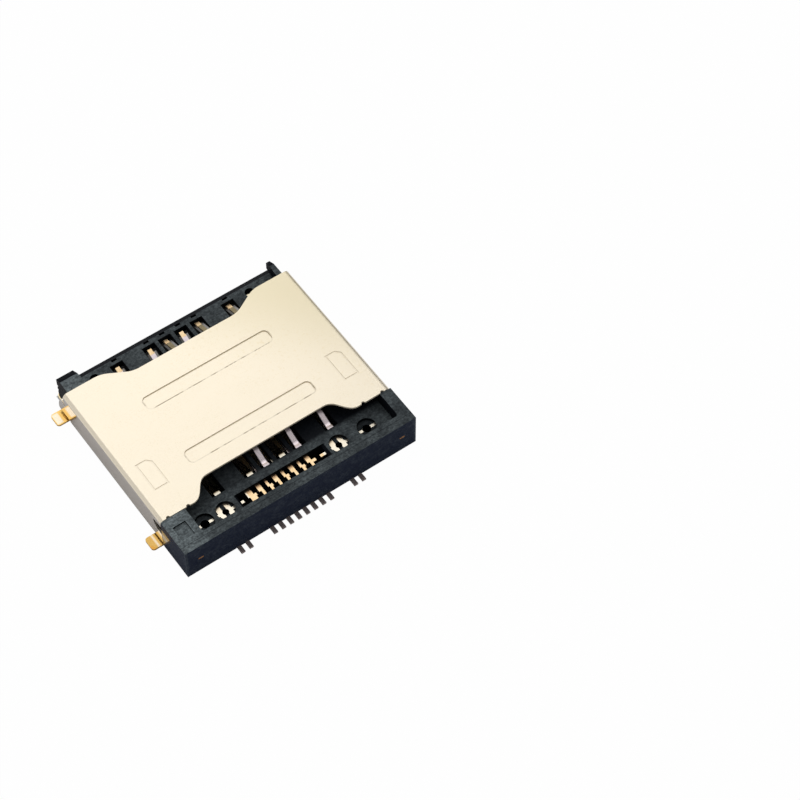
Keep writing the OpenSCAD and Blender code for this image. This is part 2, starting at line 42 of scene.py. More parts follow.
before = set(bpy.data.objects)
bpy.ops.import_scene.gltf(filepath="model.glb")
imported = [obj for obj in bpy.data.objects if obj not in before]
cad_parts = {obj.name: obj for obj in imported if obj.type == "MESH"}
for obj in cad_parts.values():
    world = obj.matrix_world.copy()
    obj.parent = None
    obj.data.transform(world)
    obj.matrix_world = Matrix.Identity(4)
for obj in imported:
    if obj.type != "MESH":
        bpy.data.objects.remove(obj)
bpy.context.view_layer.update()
MM = 0.001

UPPER_CONTACTS = [f"upper_contact_c{n}" for n in (1, 2, 3, 5, 6, 7)]
LOWER_CONTACTS = [f"lower_contact_c{n}" for n in (1, 2, 3, 5, 6, 7)]
HOLD_DOWNS = [f"hold_down_{end}_{side}" for end in ("rear", "front") for side in ("left", "right")]
LINKS = ["frame_link_left", "frame_link_right"]

# Outer faces and parting line of the moulding, in millimetres.
HALF_WIDTH = 9.0
REAR_FACE = -8.29
PARTING_LINE = -7.78

# Square panel on the block, in millimetres.
PANEL_MIDDLE = (-8.1, -6.73)
PANEL_SIZE = (0.96, 1.16)

# Zones of the moulding, as borders in millimetres: the web behind the inner windows, which is
# painted in shade, the sunk pockets of the block and the left end, which is painted paler as if lit.
WEB_LEVELS = (1.0, 1.95)
WEB_Y = (-5.2, -2.0)
WEB_X = (-6.0, 2.0)
POCKET_LEVELS = (1.55, 1.70)
POCKETS_Y = (-7.2, -5.6)
LIT_END_X = (-HALF_WIDTH, -5.0)

# Polished patch beside a rear foot: its front, rear and upper borders in millimetres,
# and how far it leans back per millimetre of height.
PATCH_FRONT = (-5.2, -5.1)
PATCH_REAR = (-5.42, -5.30)
PATCH_TOP = (1.9, 2.1)
PATCH_LEAN = 0.553

# How squarely a face looks up or down before it counts as flat.
FLAT = (0.88, 0.97)

# Pressed ribs on the upper face, in millimetres.
RIB_MIDDLES = (-2.21, 2.91)
RIB_LENGTH = 9.9
RIB_WIDTH = 1.1
RIB_RADIUS = 0.36
RIB_ENDS = (4.2, 4.7)

# Levels of the shell's walls, of its underside and of the step round a pressed form.
WALL_LEVELS = (0.12, 2.60)
UNDER_LEVELS = (0.25, 0.45)
STEP_LEVELS = (2.72, 2.76)

# Levels of the pressed card outlines, and the dimples and scored lines of the lower sheet.
MARK_LEVELS = (2.832, 2.848)
DIMPLES_PER_MM = 2.2
DIMPLED_X = (-1.9, 0.45)
DIMPLED_Y = (-2.9, 2.7)
SCORE_LINE = 7.0

# Zones of a contact from its tail to its nose, as borders along the socket in millimetres.
LEAD_END = (-5.45, -5.35)
LEAD_SHADE = (-6.22, -5.95)
ROOT = (-5.3, -4.80)
INNER_BEAM = (-4.80, -1.5)
OUTER_BEAM = (2.7, 7.0)
EARS = (2.7, 7.3)
NOSE = (6.9, 7.0)

# Zones of a foot, as borders out from the middle of the socket and out from its own middle.
FOOT_BEND = (9.22, 9.36)
FOOT_FLAT = (9.24, 9.36)
FOOT_TIP = (9.68, 9.79)
FOOT_SIDES = (0.36, 0.52)

# Border between the torn end of a frame link and its plating, in millimetres.
TORN_Y = (-8.1, -8.0)

# Angles at which faces are merged, edges rounded and normals kept apart.
MERGE_ANGLE = math.radians(0.2)
SHARP_ANGLE = math.radians(40)
CREASE_ANGLE = math.radians(32)

# Table: half of its side and its drop in metres, and the ground under the socket in millimetres.
TABLE_HALF = 0.6
TABLE_DROP = 0.002 * MM
COVERED_HALF = (8.6, 8.33)
COVERED_MIDDLE_Y = 0.42

# Soft boxes: name, direction, distance and size in metres, radiance.
LAMPS = (
    ("key_box", (0.060, 0.505, 0.850), 0.20, 0.155, 0.795),
    ("top_box", (0.33, -0.02, 0.94), 0.20, 0.11, 0.8),
    ("front_box", (-0.20, -0.85, 0.50), 0.35, 0.30, 0.35),
    ("back_box", (0.45, 0.78, 0.42), 0.35, 0.28, 0.9),
    ("fill_box", (-0.66, 0.42, 0.55), 0.34, 0.46, 0.42),
)

# Middles of the rear and front feet along the socket, in millimetres.
FOOT_MIDDLES = tuple(
    sum(corner[1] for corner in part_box(f"hold_down_{end}_left")) / 2 / MM for end in ("rear", "front")
)


class SheetSettings(PropertyGroup):
    """Finish of the folded shell."""

    face_colour: FloatVectorProperty(
        name="Face",
        description="Plating of the flat upper and lower faces",
        subtype="COLOR",
        min=0,
        max=1,
        default=(0.93, 0.84, 0.68),
    )
    # Painted shade: the walls take this darker, greyer copy of the face plating.
    wall_shade_colour: FloatVectorProperty(
        name="Walls",
        description="Plating of the folded side walls",
        subtype="COLOR",
        min=0,
        max=1,
        default=(0.765, 0.705, 0.65),
    )
    edge_radius: FloatProperty(
        name="Edge radius",
        description="Rounding of the sheared edges",
        unit="LENGTH",
        default=0.02 * MM,
    )


class MouldingSettings(PropertyGroup):
    """Finish of the moulded housing."""

    dark_colour: FloatVectorProperty(
        name="Resin",
        description="Colour of the resin between the fibres",
        subtype="COLOR",
        min=0,
        max=1,
        default=(0.004, 0.005, 0.008),
    )
    skin_colour: FloatVectorProperty(
        name="Skin",
        description="Blue-black of the outer sides",
        subtype="COLOR",
        min=0,
        max=1,
        default=(0.011, 0.017, 0.039),
    )
    # The fibre colour also carries the painted sheen of the upper and lower faces.
    fibre_colour: FloatVectorProperty(
        name="Fibres",
        description="Colour of the glass fibres at the surface",
        subtype="COLOR",
        min=0,
        max=1,
        default=(0.285, 0.335, 0.35),
    )
    edge_radius: FloatProperty(
        name="Edge radius",
        description="Rounding of the moulded edges",
        unit="LENGTH",
        default=0.05 * MM,
    )


class LeadFrameSettings(PropertyGroup):
    """Finish of the contacts, the links and the hold-downs."""

    gold_colour: FloatVectorProperty(
        name="Gold",
        description="Plating of the contact noses and the cut tie bars",
        subtype="COLOR",
        min=0,
        max=1,
        default=(1.0, 0.76, 0.46),
    )
    beam_colour: FloatVectorProperty(
        name="Beams",
        description="Pale plating of the rising beams",
        subtype="COLOR",
        min=0,
        max=1,
        default=(0.82, 0.72, 0.74),
    )
    tail_colour: FloatVectorProperty(
        name="Tails",
        description="Dull plating of the solder tails",
        subtype="COLOR",
        min=0,
        max=1,
        default=(0.50, 0.42, 0.40),
    )
    # Painted shade: a darker copy of the beam plating, for the beams that slope away from the light.
    shaded_colour: FloatVectorProperty(
        name="Shaded beams",
        description="Duller plating of the beams that slope away",
        subtype="COLOR",
        min=0,
        max=1,
        default=(0.23, 0.185, 0.105),
    )
    # Painted shade: the ears take this grey in place of their plating.
    ear_shade_colour: FloatVectorProperty(
        name="Ears",
        description="Grey plating of the ears beside the noses",
        subtype="COLOR",
        min=0,
        max=1,
        default=(0.22, 0.21, 0.20),
    )
    plate_colour: FloatVectorProperty(
        name="Plates",
        description="Cream plating of the anchored plates",
        subtype="COLOR",
        min=0,
        max=1,
        default=(0.98, 0.90, 0.74),
    )
    foot_colour: FloatVectorProperty(
        name="Feet",
        description="Gold plating of the hold-downs",
        subtype="COLOR",
        min=0,
        max=1,
        default=(0.95, 0.61, 0.18),
    )
    link_colour: FloatVectorProperty(
        name="Links",
        description="Bare alloy of the cut frame links",
        subtype="COLOR",
        min=0,
        max=1,
        default=(0.62, 0.30, 0.12),
    )
    edge_radius: FloatProperty(
        name="Edge radius",
        description="Rounding of the stamped edges",
        unit="LENGTH",
        default=0.012 * MM,
    )


class StageSettings(PropertyGroup):
    """Camera and light."""

    azimuth: FloatProperty(
        name="Azimuth",
        description="Turn of the camera round the socket",
        subtype="ANGLE",
        default=math.radians(-35.698),
    )
    elevation: FloatProperty(
        name="Elevation",
        description="Height of the camera over the board",
        subtype="ANGLE",
        default=math.radians(55.734),
    )
    roll: FloatProperty(
        name="Roll",
        description="Turn of the camera about its own axis",
        subtype="ANGLE",
        default=math.radians(0.141),
    )
    distance: FloatProperty(
        name="Distance",
        description="Camera to the middle of the picture",
        unit="LENGTH",
        default=159.966 * MM,
    )
    aim: FloatVectorProperty(
        name="Aim",
        description="Point in the middle of the picture",
        subtype="TRANSLATION",
        default=(9.478 * MM, -5.821 * MM, 1.55 * MM),
    )
    floor_colour: FloatVectorProperty(
        name="Floor",
        description="Colour of the table under the socket",
        subtype="COLOR",
        min=0,
        max=1,
        default=(0.80, 0.80, 0.80),
    )


class SocketSettings(PropertyGroup):
    """All that can be set on the socket."""

    sheet: PointerProperty(type=SheetSettings)
    moulding: PointerProperty(type=MouldingSettings)
    lead_frame: PointerProperty(type=LeadFrameSettings)
    stage: PointerProperty(type=StageSettings)


class Wire:
    """An output socket of a shader tree, with arithmetic that adds Math nodes."""

    def __init__(self, tree, socket=None):
        self.tree = tree
        self.socket = socket

    def node(self, kind, settings=None, values=None, out=0):
        """Adds a node, sets it up, fills or links its inputs and returns one output."""
        made = self.tree.nodes.new(kind)
        for name, value in (settings or {}).items():
            setattr(made, name, value)
        for key, value in (values or {}).items():
            if isinstance(value, Wire):
                self.tree.links.new(value.socket, made.inputs[key])
            else:
                made.inputs[key].default_value = value
        return Wire(self.tree, made.outputs[out] if len(made.outputs) else None)

    def math(self, operation, *others):
        """A Math node on this wire and up to two more values."""
        return self.node("ShaderNodeMath", {"operation": operation}, dict(enumerate((self, *others))))

    def __add__(self, other):
        return self.math("ADD", other)

    __radd__ = __add__

    def __sub__(self, other):
        return self.math("SUBTRACT", other)

    def __rsub__(self, other):
        return self.node("ShaderNodeMath", {"operation": "SUBTRACT"}, {0: other, 1: self})

    def __mul__(self, other):
        return self.math("MULTIPLY", other)

    __rmul__ = __mul__

    def __abs__(self):
        return self.math("ABSOLUTE")

    def most(self, other):
        return self.math("MAXIMUM", other)

    def least(self, other):
        return self.math("MINIMUM", other)

    def step(self, low, high):
        """A smooth step from 0 below low to 1 above high."""
        return self.node(
            "ShaderNodeMapRange",
            {"interpolation_type": "SMOOTHSTEP"},
            {"Value": self, "From Min": low, "From Max": high},
        )

    def between(self, low, high, soft):
        """1 between low and high, with soft borders."""
        return self.step(low - soft, low + soft) * (1 - self.step(high - soft, high + soft))

    def choose(self, first, second):
        """A colour between two, by this wire."""
        return self.node(
            "ShaderNodeMix",
            {"data_type": "RGBA"},
            {"Factor": self, 6: first, 7: second},
            out=2,
        )


def start_material(name):
    """An empty material, its tree, and Object coordinates in millimetres."""
    finish = bpy.data.materials.new(name)
    finish.use_nodes = True
    tree = finish.node_tree
    tree.nodes.clear()
    blank = Wire(tree)
    place = blank.node("ShaderNodeTexCoord", out="Object")
    place = blank.node(
        "ShaderNodeVectorMath",
        {"operation": "SCALE"},
        {0: place, "Scale": 1 / MM},
    )
    return finish, blank, place


def axes(place):
    """The three coordinates of a vector as wires."""
    return [place.node("ShaderNodeSeparateXYZ", None, {0: place}, out=axis) for axis in "XYZ"]


def stored(blank, name, out="Fac"):
    """A value that is kept on the faces of the mesh."""
    return blank.node("ShaderNodeAttribute", {"attribute_name": name}, out=out)


def facing(blank):
    """How far a face looks along each axis."""
    return axes(stored(blank, "facing", "Vector"))


def noise(place, scale, detail=3.0, roughness=0.55):
    return place.node(
        "ShaderNodeTexNoise",
        None,
        {"Vector": place, "Scale": scale, "Detail": detail, "Roughness": roughness},
    )


def stretched(place, scale):
    """Coordinates that draw a pattern out along an axis."""
    return place.node("ShaderNodeMapping", None, {"Vector": place, "Scale": scale})


def close_material(blank, values, height, bump, depth):
    """The shader, its bump and the output."""
    values["Normal"] = blank.node(
        "ShaderNodeBump",
        None,
        {"Strength": bump, "Distance": depth * MM, "Height": height},
    )
    shader = blank.node("ShaderNodeBsdfPrincipled", None, values)
    blank.node("ShaderNodeOutputMaterial", None, {"Surface": shader})


def colour(value):
    return (*value, 1.0)


def tinted(base, shares):
    """A colour with each channel taken down to its share."""
    return colour(a * b for a, b in zip(base, shares))


def dimmed(base, share):
    return tinted(base, (share,) * 3)


def rounded_box_distance(x, y, length, width, radius):
    """Distance from the outline of a rounded rectangle, negative inside."""
    over_x = abs(x) - (length / 2 - radius)
    over_y = abs(y) - (width / 2 - radius)
    out_x = over_x.most(0.0)
    out_y = over_y.most(0.0)
    inside = over_x.most(over_y).least(0.0)
    return (out_x * out_x + out_y * out_y).math("SQRT") + inside - radius


def filled_plastic(settings):
    """Black resin with glass fibres that show as grey flecks, and a painted sheen that makes the upper
    and lower faces paler than the sides.
    """
    finish, blank, place = start_material("filled_plastic")
    x, y, z = axes(place)
    look = facing(blank)
    edge = stored(blank, "edge")
    up = look[2].step(*FLAT)
    down = (0 - look[2]).step(*FLAT)
    upright = 1 - up - down
    # Painted shade: the web behind the inner windows is darker, the more so to the right.
    painted_web_shade = z.between(*WEB_LEVELS, 0.1) * y.between(*WEB_Y, 0.2)
    bright = 1 - painted_web_shade * (0.45 + x.step(*WEB_X) * 0.5)
    open_top = z.step(0.6, 1.6) * bright
    painted_lit_end = 1 - x.step(*LIT_END_X)
    # Fibres, clouds and flecks of the filler.
    flow = stretched(place, (0.8, 1.0, 1.0))
    mottle = noise(flow, 5.6, 5.0, 0.72)
    cloud = noise(place, 0.35, 2.0)
    patch = noise(place, 1.2, 3.0, 0.6).step(0.34, 0.68)
    cells = blank.node(
        "ShaderNodeTexVoronoi",
        {"feature": "F1"},
        {"Vector": flow, "Scale": 9.0, "Randomness": 1.0},
    )
    fleck = (1 - cells.step(0.04, 0.20)) * noise(place, 1.7, 2.0).step(0.45, 0.62)
    parting = (1 - abs(y - PARTING_LINE).step(0.01, 0.05)) * 0.5
    fibre = (0.09 + mottle.step(0.25, 0.85) * 0.40 + fleck * 0.16) * (1 - parting)
    # Painted light and shade: upper faces paler, lower faces a little less, pockets and low faces
    # darker, the left end palest.
    sunk = (1 - z.step(*POCKET_LEVELS)) * y.between(*POCKETS_Y, 0.02)
    lit = up * open_top * (1 - sunk * 0.6) + down * 0.8
    lit = lit * (0.34 + cloud * 0.66 + patch * 0.5) * (1 + painted_lit_end * up * 1.5)
    # Rounded edges get a painted highlight.
    shown = fibre * (lit + 0.03) + edge * bright * (0.03 + mottle * 0.24)
    # The outer sides have a blue-black skin, and their corners carry a painted highlight.
    sides = abs(x).step(HALF_WIDTH - 0.10, HALF_WIDTH - 0.05)
    skin = sides.most(1 - y.step(REAR_FACE + 0.04, REAR_FACE + 0.09)) * upright
    shown = shown + skin * (mottle.step(0.35, 0.75) * (0.3 + patch)) * 0.12
    corner_x = abs(x).step(HALF_WIDTH - 0.20, HALF_WIDTH - 0.12)
    corner = corner_x * (1 - y.step(REAR_FACE + 0.12, REAR_FACE + 0.20)) * upright
    # A painted highlight rings the square panel on the upper face.
    rim = rounded_box_distance(x - PANEL_MIDDLE[0], y - PANEL_MIDDLE[1], *PANEL_SIZE, 0.02)
    panel_rim_highlight = rim.between(0.0, 0.06, 0.02) * up * z.step(2.5, 2.6)
    shown = shown + corner * 0.08 + panel_rim_highlight * 0.14
    # A polished patch on each side mirrors the rear foot beside it.
    polished = abs(x).step(HALF_WIDTH - 0.05, HALF_WIDTH - 0.02) * (1 - y.step(*PATCH_FRONT))
    polished = polished * (y + z * PATCH_LEAN).step(*PATCH_REAR)
    polished = polished * (1 - z.step(*PATCH_TOP)) * upright
    resin = skin.choose(colour(settings.dark_colour), colour(settings.skin_colour))
    paint = shown.least(1.0).choose(resin, colour(settings.fibre_colour))
    close_material(
        blank,
        {
            "Base Color": paint,
            "Roughness": 0.36 + mottle * 0.2,
            "Specular IOR Level": 0.04,
            "Coat Weight": polished,
            "Coat IOR": 2.0,
            "Coat Roughness": 0.10,
        },
        height=mottle * 0.7 + fleck * 0.3,
        bump=0.2,
        depth=0.012,
    )
    return finish


def plated_sheet(settings):
    """Satin champagne plating on the faces, mirror-bright walls painted a darker grey as shade, and
    crisp pressed outlines.
    """
    finish, blank, place = start_material("plated_sheet")
    x, y, z = axes(place)
    look = facing(blank)
    wall = abs(look[0]).step(0.15, 0.25) * z.between(*WALL_LEVELS, 0.06)
    under = 1 - z.step(*UNDER_LEVELS)
    top = look[2].step(0.6, 0.9)
    clouds = noise(place, 0.45, 4.0, 0.6)
    grain = noise(place, 7.0, 4.0, 0.7)
    wear = noise(place, 1.3, 3.0, 0.6)
    speck = noise(place, 13.0, 2.0, 0.6)
    # Painted shadow lines, broken, along the near sides and the ends of the ribs.
    rib_shadow_line = 0.0
    broken = wear.step(0.42, 0.58) * 0.75 + 0.25
    ends = 1 - abs(x).step(*RIB_ENDS) * 0.5
    for middle in RIB_MIDDLES:
        across = y - middle
        rim = rounded_box_distance(x, across, RIB_LENGTH, RIB_WIDTH, RIB_RADIUS)
        line = 1 - abs(rim).step(0.03, 0.09)
        rib_shadow_line = line * (1 - across.step(0.1, 0.5)) * broken * ends + rib_shadow_line
    rib_shadow_line = rib_shadow_line * top
    mark_line = z.between(*MARK_LEVELS, 0.003) * top
    # Rows of small dimples and two scored lines on the lower sheet.
    dots_x, dots_y = (abs((axis * DIMPLES_PER_MM).math("FRACT") - 0.5) for axis in (x, y))
    dot = 1 - (dots_x * dots_x + dots_y * dots_y).step(0.006, 0.03)
    dimples = dot * x.between(*DIMPLED_X, 0.02) * y.between(*DIMPLED_Y, 0.02) * under
    scored = (1 - abs(abs(x) - SCORE_LINE).step(0.0, 0.06)) * under
    # The rib lines are painted shadow; the card outlines, dimples and scored lines are drawn darker.
    pressed = rib_shadow_line * 0.85 + mark_line * 0.08 + dimples * 0.5 + scored * wear * 0.3
    # Warm spots, fine specks, stains, and painted shade that darkens the far corner.
    face = settings.face_colour
    spotted = grain.step(0.50, 0.76) * (0.35 + clouds.step(0.40, 0.62) * 0.65)
    specked = speck.step(0.52, 0.74) * clouds.step(0.30, 0.60)
    to_corner = (x + y) * top
    stained = noise(place, 4.2, 2.0, 0.5).step(0.58, 0.72) * to_corner.step(-3.0, 9.0)
    band = abs(x).step(SCORE_LINE - 0.02, SCORE_LINE + 0.05) * under
    faces = spotted.choose(colour(face), tinted(face, (0.965, 0.935, 0.87)))
    faces = specked.choose(faces, tinted(face, (0.93, 0.92, 0.88)))
    faces = stained.choose(faces, tinted(face, (0.945, 0.915, 0.84)))
    faces = to_corner.step(3.0, 14.0).choose(faces, tinted(face, (0.84, 0.83, 0.74)))
    faces = band.choose(faces, tinted(face, (0.98, 0.90, 0.66)))
    faces = pressed.choose(faces, tinted(face, (0.20, 0.17, 0.12)))
    # Painted shade: the walls take their darker copy of the plating.
    paint = wall.choose(faces, colour(settings.wall_shade_colour))
    step_side = (1 - abs(look[2]).step(0.3, 0.6)) * z.step(*STEP_LEVELS) * (1 - wall)
    rough = (0.27 + grain * 0.10) * (1 - wall) + wall * 0.09 + step_side * 0.6
    height = grain * 0.45 - dimples * 2.5 - scored * 0.8 - rib_shadow_line * 1.2
    close_material(
        blank,
        {"Base Color": paint, "Roughness": rough, "Metallic": 1 - step_side * 0.8},
        height=height * (1 - wall * 0.9),
        bump=0.35,
        depth=0.012,
    )
    return finish


def spring_alloy(settings, name, outer_beam, inner_beam, root_colour, nose_haze):
    """Gold leads and noses, paler beams and plates, dull tails, with painted shade on sloping beams,
    beam margins, ears, plates and lead ends.
    """
    finish, blank, place = start_material(name)
    x, y = axes(place)[:2]
    aside = x - stored(blank, "middle")
    across = abs(aside)
    tail = (1 - y.step(REAR_FACE - 0.03, REAR_FACE + 0.01)) * facing(blank)[2].step(-0.9, -0.6)
    lead = 1 - y.step(*LEAD_END)
    lead_end_shadow = lead * y.step(*LEAD_SHADE) * 0.85
    plate = lead * abs(x).step(2.86, 2.92)
    root = y.between(*ROOT, 0.08)
    inner = y.between(*INNER_BEAM, 0.12)
    outer = y.between(*OUTER_BEAM, 0.06)
    ear = across.step(0.16, 0.20) * y.between(*EARS, 0.05)
    nose = y.step(*NOSE)
    margin_shade = across.step(0.14, 0.19)
    rub = noise(place, 3.0, 3.0, 0.6)
    scratches = noise(stretched(place, (14.0, 1.0, 14.0)), 1.6, 3.0, 0.7)
    gold = settings.gold_colour
    cream = settings.plate_colour
    ears = settings.ear_shade_colour
    plating = rub.step(0.40, 0.68).choose(colour(gold), tinted(gold, (0.94, 0.88, 0.80)))
    rubbed = rub.step(0.42, 0.70).choose(colour(outer_beam), tinted(outer_beam, (0.80, 0.82, 0.84)))
    plating = outer.choose(plating, rubbed)
    # Painted shade darkens the margins of the inner beams.
    plating = inner.choose(plating, margin_shade.choose(colour(inner_beam), dimmed(inner_beam, 0.3)))
    plating = root.choose(plating, colour(root_colour))
    # Painted shadow at the far ends of the leads.
    plating = lead_end_shadow.choose(plating, tinted(gold, (0.42, 0.33, 0.30)))
    # Painted shade: the ears are grey, darker still on one side.
    plating = ear.choose(plating, aside.step(-0.1, 0.1).choose(dimmed(ears, 0.4), colour(ears)))
    # Painted shade: the plates turn amber towards the far wall of their pockets.
    shade = (y.step(-6.4, -5.8) * 0.6).choose(colour(cream), tinted(cream, (0.80, 0.66, 0.50)))
    plating = plate.choose(plating, shade)
    plating = tail.choose(plating, colour(settings.tail_colour))
    close_material(
        blank,
        {
            "Base Color": plating,
            "Roughness": 0.20 + scratches * 0.14 + tail * 0.2 + nose * nose_haze,
            "Metallic": 1.0,
        },
        height=scratches,
        bump=0.10,
        depth=0.006,
    )
    return finish


def foot_gold(settings):
    """Bright gold with small amber spots at the rear; the rear feet are painted darker as shade, and
    the rear bends and front pads carry a painted highlight.
    """
    finish, blank, place = start_material("foot_gold")
    x, y = axes(place)[:2]
    spots = noise(place, 2.6, 1.0, 0.4)
    brushed = noise(place, 5.0, 2.0)
    out = abs(x)
    front = y.step(-1.0, 1.0)
    rear = 1 - front
    along = abs(y - FOOT_MIDDLES[0]) * rear + abs(y - FOOT_MIDDLES[1]) * front
    bend_highlight = out.between(*FOOT_BEND, 0.06) * 0.75
    inside = (1 - along.step(*FOOT_SIDES)) * out.step(*FOOT_FLAT) * (1 - out.step(*FOOT_TIP)) * 0.85
    gold = settings.foot_colour
    # Painted shade darkens the rear feet; painted highlights pale the bends at the rear and the pads at
    # the front.
    paint = rear.choose(colour(gold), dimmed(gold, 0.80))
    paint = (spots.step(0.52, 0.68) * rear).choose(paint, tinted(gold, (0.86, 0.70, 0.50)))
    paint = (bend_highlight * rear + inside * front).choose(paint, colour(settings.plate_colour))
    close_material(
        blank,
        {"Base Color": paint, "Roughness": 0.20 + brushed * 0.06, "Metallic": 1.0},
        height=brushed,
        bump=0.02,
        depth=0.004,
    )
    return finish


def bare_alloy(settings):
    """Plated inside the pockets, torn and tarnished where the links were cut."""
    finish, blank, place = start_material("bare_alloy")
    torn = 1 - axes(place)[1].step(*TORN_Y)
    tarnish = noise(place, 7.0, 4.0, 0.7)
    link = settings.link_colour
    bare = tarnish.step(0.38, 0.66).choose(colour(link), dimmed(link, 0.45))
    paint = torn.choose(colour(settings.plate_colour), bare)
    close_material(
        blank,
        {"Base Color": paint, "Roughness": 0.22 + tarnish * 0.25, "Metallic": 1.0},
        height=tarnish,
        bump=0.15,
        depth=0.01,
    )
    return finish


def merged_copy(node):
    """A copy of a CAD node in millimetres, merged, with its flat faces joined."""
    solid = bmesh.new()
    solid.from_mesh(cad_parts[node].data)
    bmesh.ops.scale(solid, vec=(1 / MM,) * 3, verts=solid.verts)
    bmesh.ops.remove_doubles(solid, verts=solid.verts, dist=1e-4)
    bmesh.ops.dissolve_limit(
        solid,
        angle_limit=MERGE_ANGLE,
        use_dissolve_boundaries=False,
        verts=solid.verts,
        edges=solid.edges,
        delimit=set(),
    )
    return solid


def round_edges(solid, radius, room):
    """Rounds the sharp edges whose neighbours are all longer than room."""

    def roomy(edge):
        return all(e.calc_length() > room for v in edge.verts for e in v.link_edges)

    sharp = [
        e
        for e in solid.edges
        if len(e.link_faces) == 2 and e.calc_face_angle(0.0) > SHARP_ANGLE and roomy(e)
    ]
    layer = solid.faces.layers.float.new("edge")
    if sharp:
        rounded = bmesh.ops.bevel(
            solid,
            geom=sharp,
            offset=radius,
            offset_type="OFFSET",
            affect="EDGES",
            segments=2,
            profile=0.5,
            material=-1,
            clamp_overlap=True,
        )
        for face in rounded["faces"]:
            face[layer] = 1.0


def keep_facing(solid):
    """Stores on each face which way it looks and where the foremost tip is across the socket."""
    facing_layer = solid.faces.layers.float_vector.new("facing")
    middle_layer = solid.faces.layers.float.new("middle")
    tip = max(solid.verts, key=lambda v: round(v.co.y, 3)).co.y
    tip_xs = [v.co.x for v in solid.verts if v.co.y > tip - 0.05]
    middle = (min(tip_xs) + max(tip_xs)) / 2
    for face in solid.faces:
        face[facing_layer] = face.normal
        face[middle_layer] = middle


def corner_normals(solid):
    """Smooth normals where faces nearly line up, ruled by the larger face."""
    areas = {face: face.calc_area() for face in solid.faces}
    crease = math.cos(CREASE_ANGLE)
    normals = []
    for face in solid.faces:
        for corner in face.loops:
            total = Vector()
            for near in corner.vert.link_faces:
                if near.normal.dot(face.normal) > crease:
                    total += near.normal * areas[near] ** 2
            normals.append(total.normalized() if total.length > 0 else face.normal.copy())
    return normals


def place_piece(solid, name, node, finish):
    """Turns a finished bmesh into a piece that stands for its CAD node."""
    solid.normal_update()
    keep_facing(solid)
    for face in solid.faces:
        face.smooth = True
    normals = corner_normals(solid)
    bmesh.ops.scale(solid, vec=(MM,) * 3, verts=solid.verts)
    mesh = bpy.data.meshes.new(name)
    solid.to_mesh(mesh)
    solid.free()
    mesh.normals_split_custom_set(normals)
    mesh.materials.append(finish)
    piece = bpy.data.objects.new(name, mesh)
    bpy.context.scene.collection.objects.link(piece)
    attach(piece, "root")
    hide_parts(node)


def dress(node, name, finish, radius, room):
    """A CAD node with soft edges and its finish."""
    solid = merged_copy(node)
    round_edges(solid, radius / MM, room)
    place_piece(solid, name, node, finish)


class SOCKET_OT_housing(Operator):
    """Dress the moulded housing"""

    bl_idname = "card_socket.housing"
    bl_label = "Housing"

    def execute(self, context):
        settings = context.scene.card_socket.moulding
        finish = filled_plastic(settings)
        dress("housing", "moulded_housing", finish, settings.edge_radius, room=0.16)
        return {"FINISHED"}


class SOCKET_OT_shell(Operator):
    """Dress the folded shell"""

    bl_idname = "card_socket.shell"
    bl_label = "Shell"

    def execute(self, context):
        settings = context.scene.card_socket.sheet
        finish = plated_sheet(settings)
        dress("shell", "folded_shell", finish, settings.edge_radius, room=0.05)
        return {"FINISHED"}


class SOCKET_OT_contacts(Operator):
    """Dress the twelve sprung contacts"""

    bl_idname = "card_socket.contacts"
    bl_label = "Contacts"

    def execute(self, context):
        settings = context.scene.card_socket.lead_frame
        pale = settings.beam_colour
        shaded = settings.shaded_colour
        upper = spring_alloy(settings, "upper_alloy", shaded, pale, pale, 0.2)
        # Painted shadow: the inner beams of the lower contacts are nearly black.
        shadowed_beam = tuple(shade * 0.17 for shade in shaded)
        lower = spring_alloy(settings, "lower_alloy", pale, shadowed_beam, settings.plate_colour, 0.0)
        for nodes, finish in ((UPPER_CONTACTS, upper), (LOWER_CONTACTS, lower)):
            for node in nodes:
                dress(node, f"{node}_strip", finish, settings.edge_radius, room=0.04)
        return {"FINISHED"}


class SOCKET_OT_hold_downs(Operator):
    """Dress the four gold feet"""

    bl_idname = "card_socket.hold_downs"
    bl_label = "Hold-downs"

    def execute(self, context):
        settings = context.scene.card_socket.lead_frame
        finish = foot_gold(settings)
        for node in HOLD_DOWNS:
            dress(node, f"{node}_foot", finish, settings.edge_radius, room=0.03)
        return {"FINISHED"}


class SOCKET_OT_links(Operator):
    """Dress the cut ends of the lead frame"""

    bl_idname = "card_socket.links"
    bl_label = "Frame links"

    def execute(self, context):
        settings = context.scene.card_socket.lead_frame
        finish = bare_alloy(settings)
        for node in LINKS:
            dress(node, f"{node}_end", finish, settings.edge_radius, room=0.04)
        return {"FINISHED"}


def make_camera(stage):
    """The camera at the angle and distance of the picture."""
    a, e, r = stage.azimuth, stage.elevation, stage.roll
    right = Vector((math.cos(a), math.sin(a), 0))
    back = Vector((math.sin(a) * math.cos(e), -math.cos(a) * math.cos(e), math.sin(e)))
    up = back.cross(right)
    tilted_right = right * math.cos(r) + up * math.sin(r)
    tilted_up = up * math.cos(r) - right * math.sin(r)
    turn = Matrix((tilted_right, tilted_up, back)).transposed()
    data = bpy.data.cameras.new("camera")
    data.sensor_width = 36
    data.lens = 108
    data.clip_start = 0.005
    data.clip_end = 20
    camera = bpy.data.objects.new("camera", data)
    camera.matrix_world = Matrix.Translation(Vector(stage.aim) + back * stage.distance) @ turn.to_4x4()
    bpy.context.scene.collection.objects.link(camera)
    bpy.context.scene.camera = camera


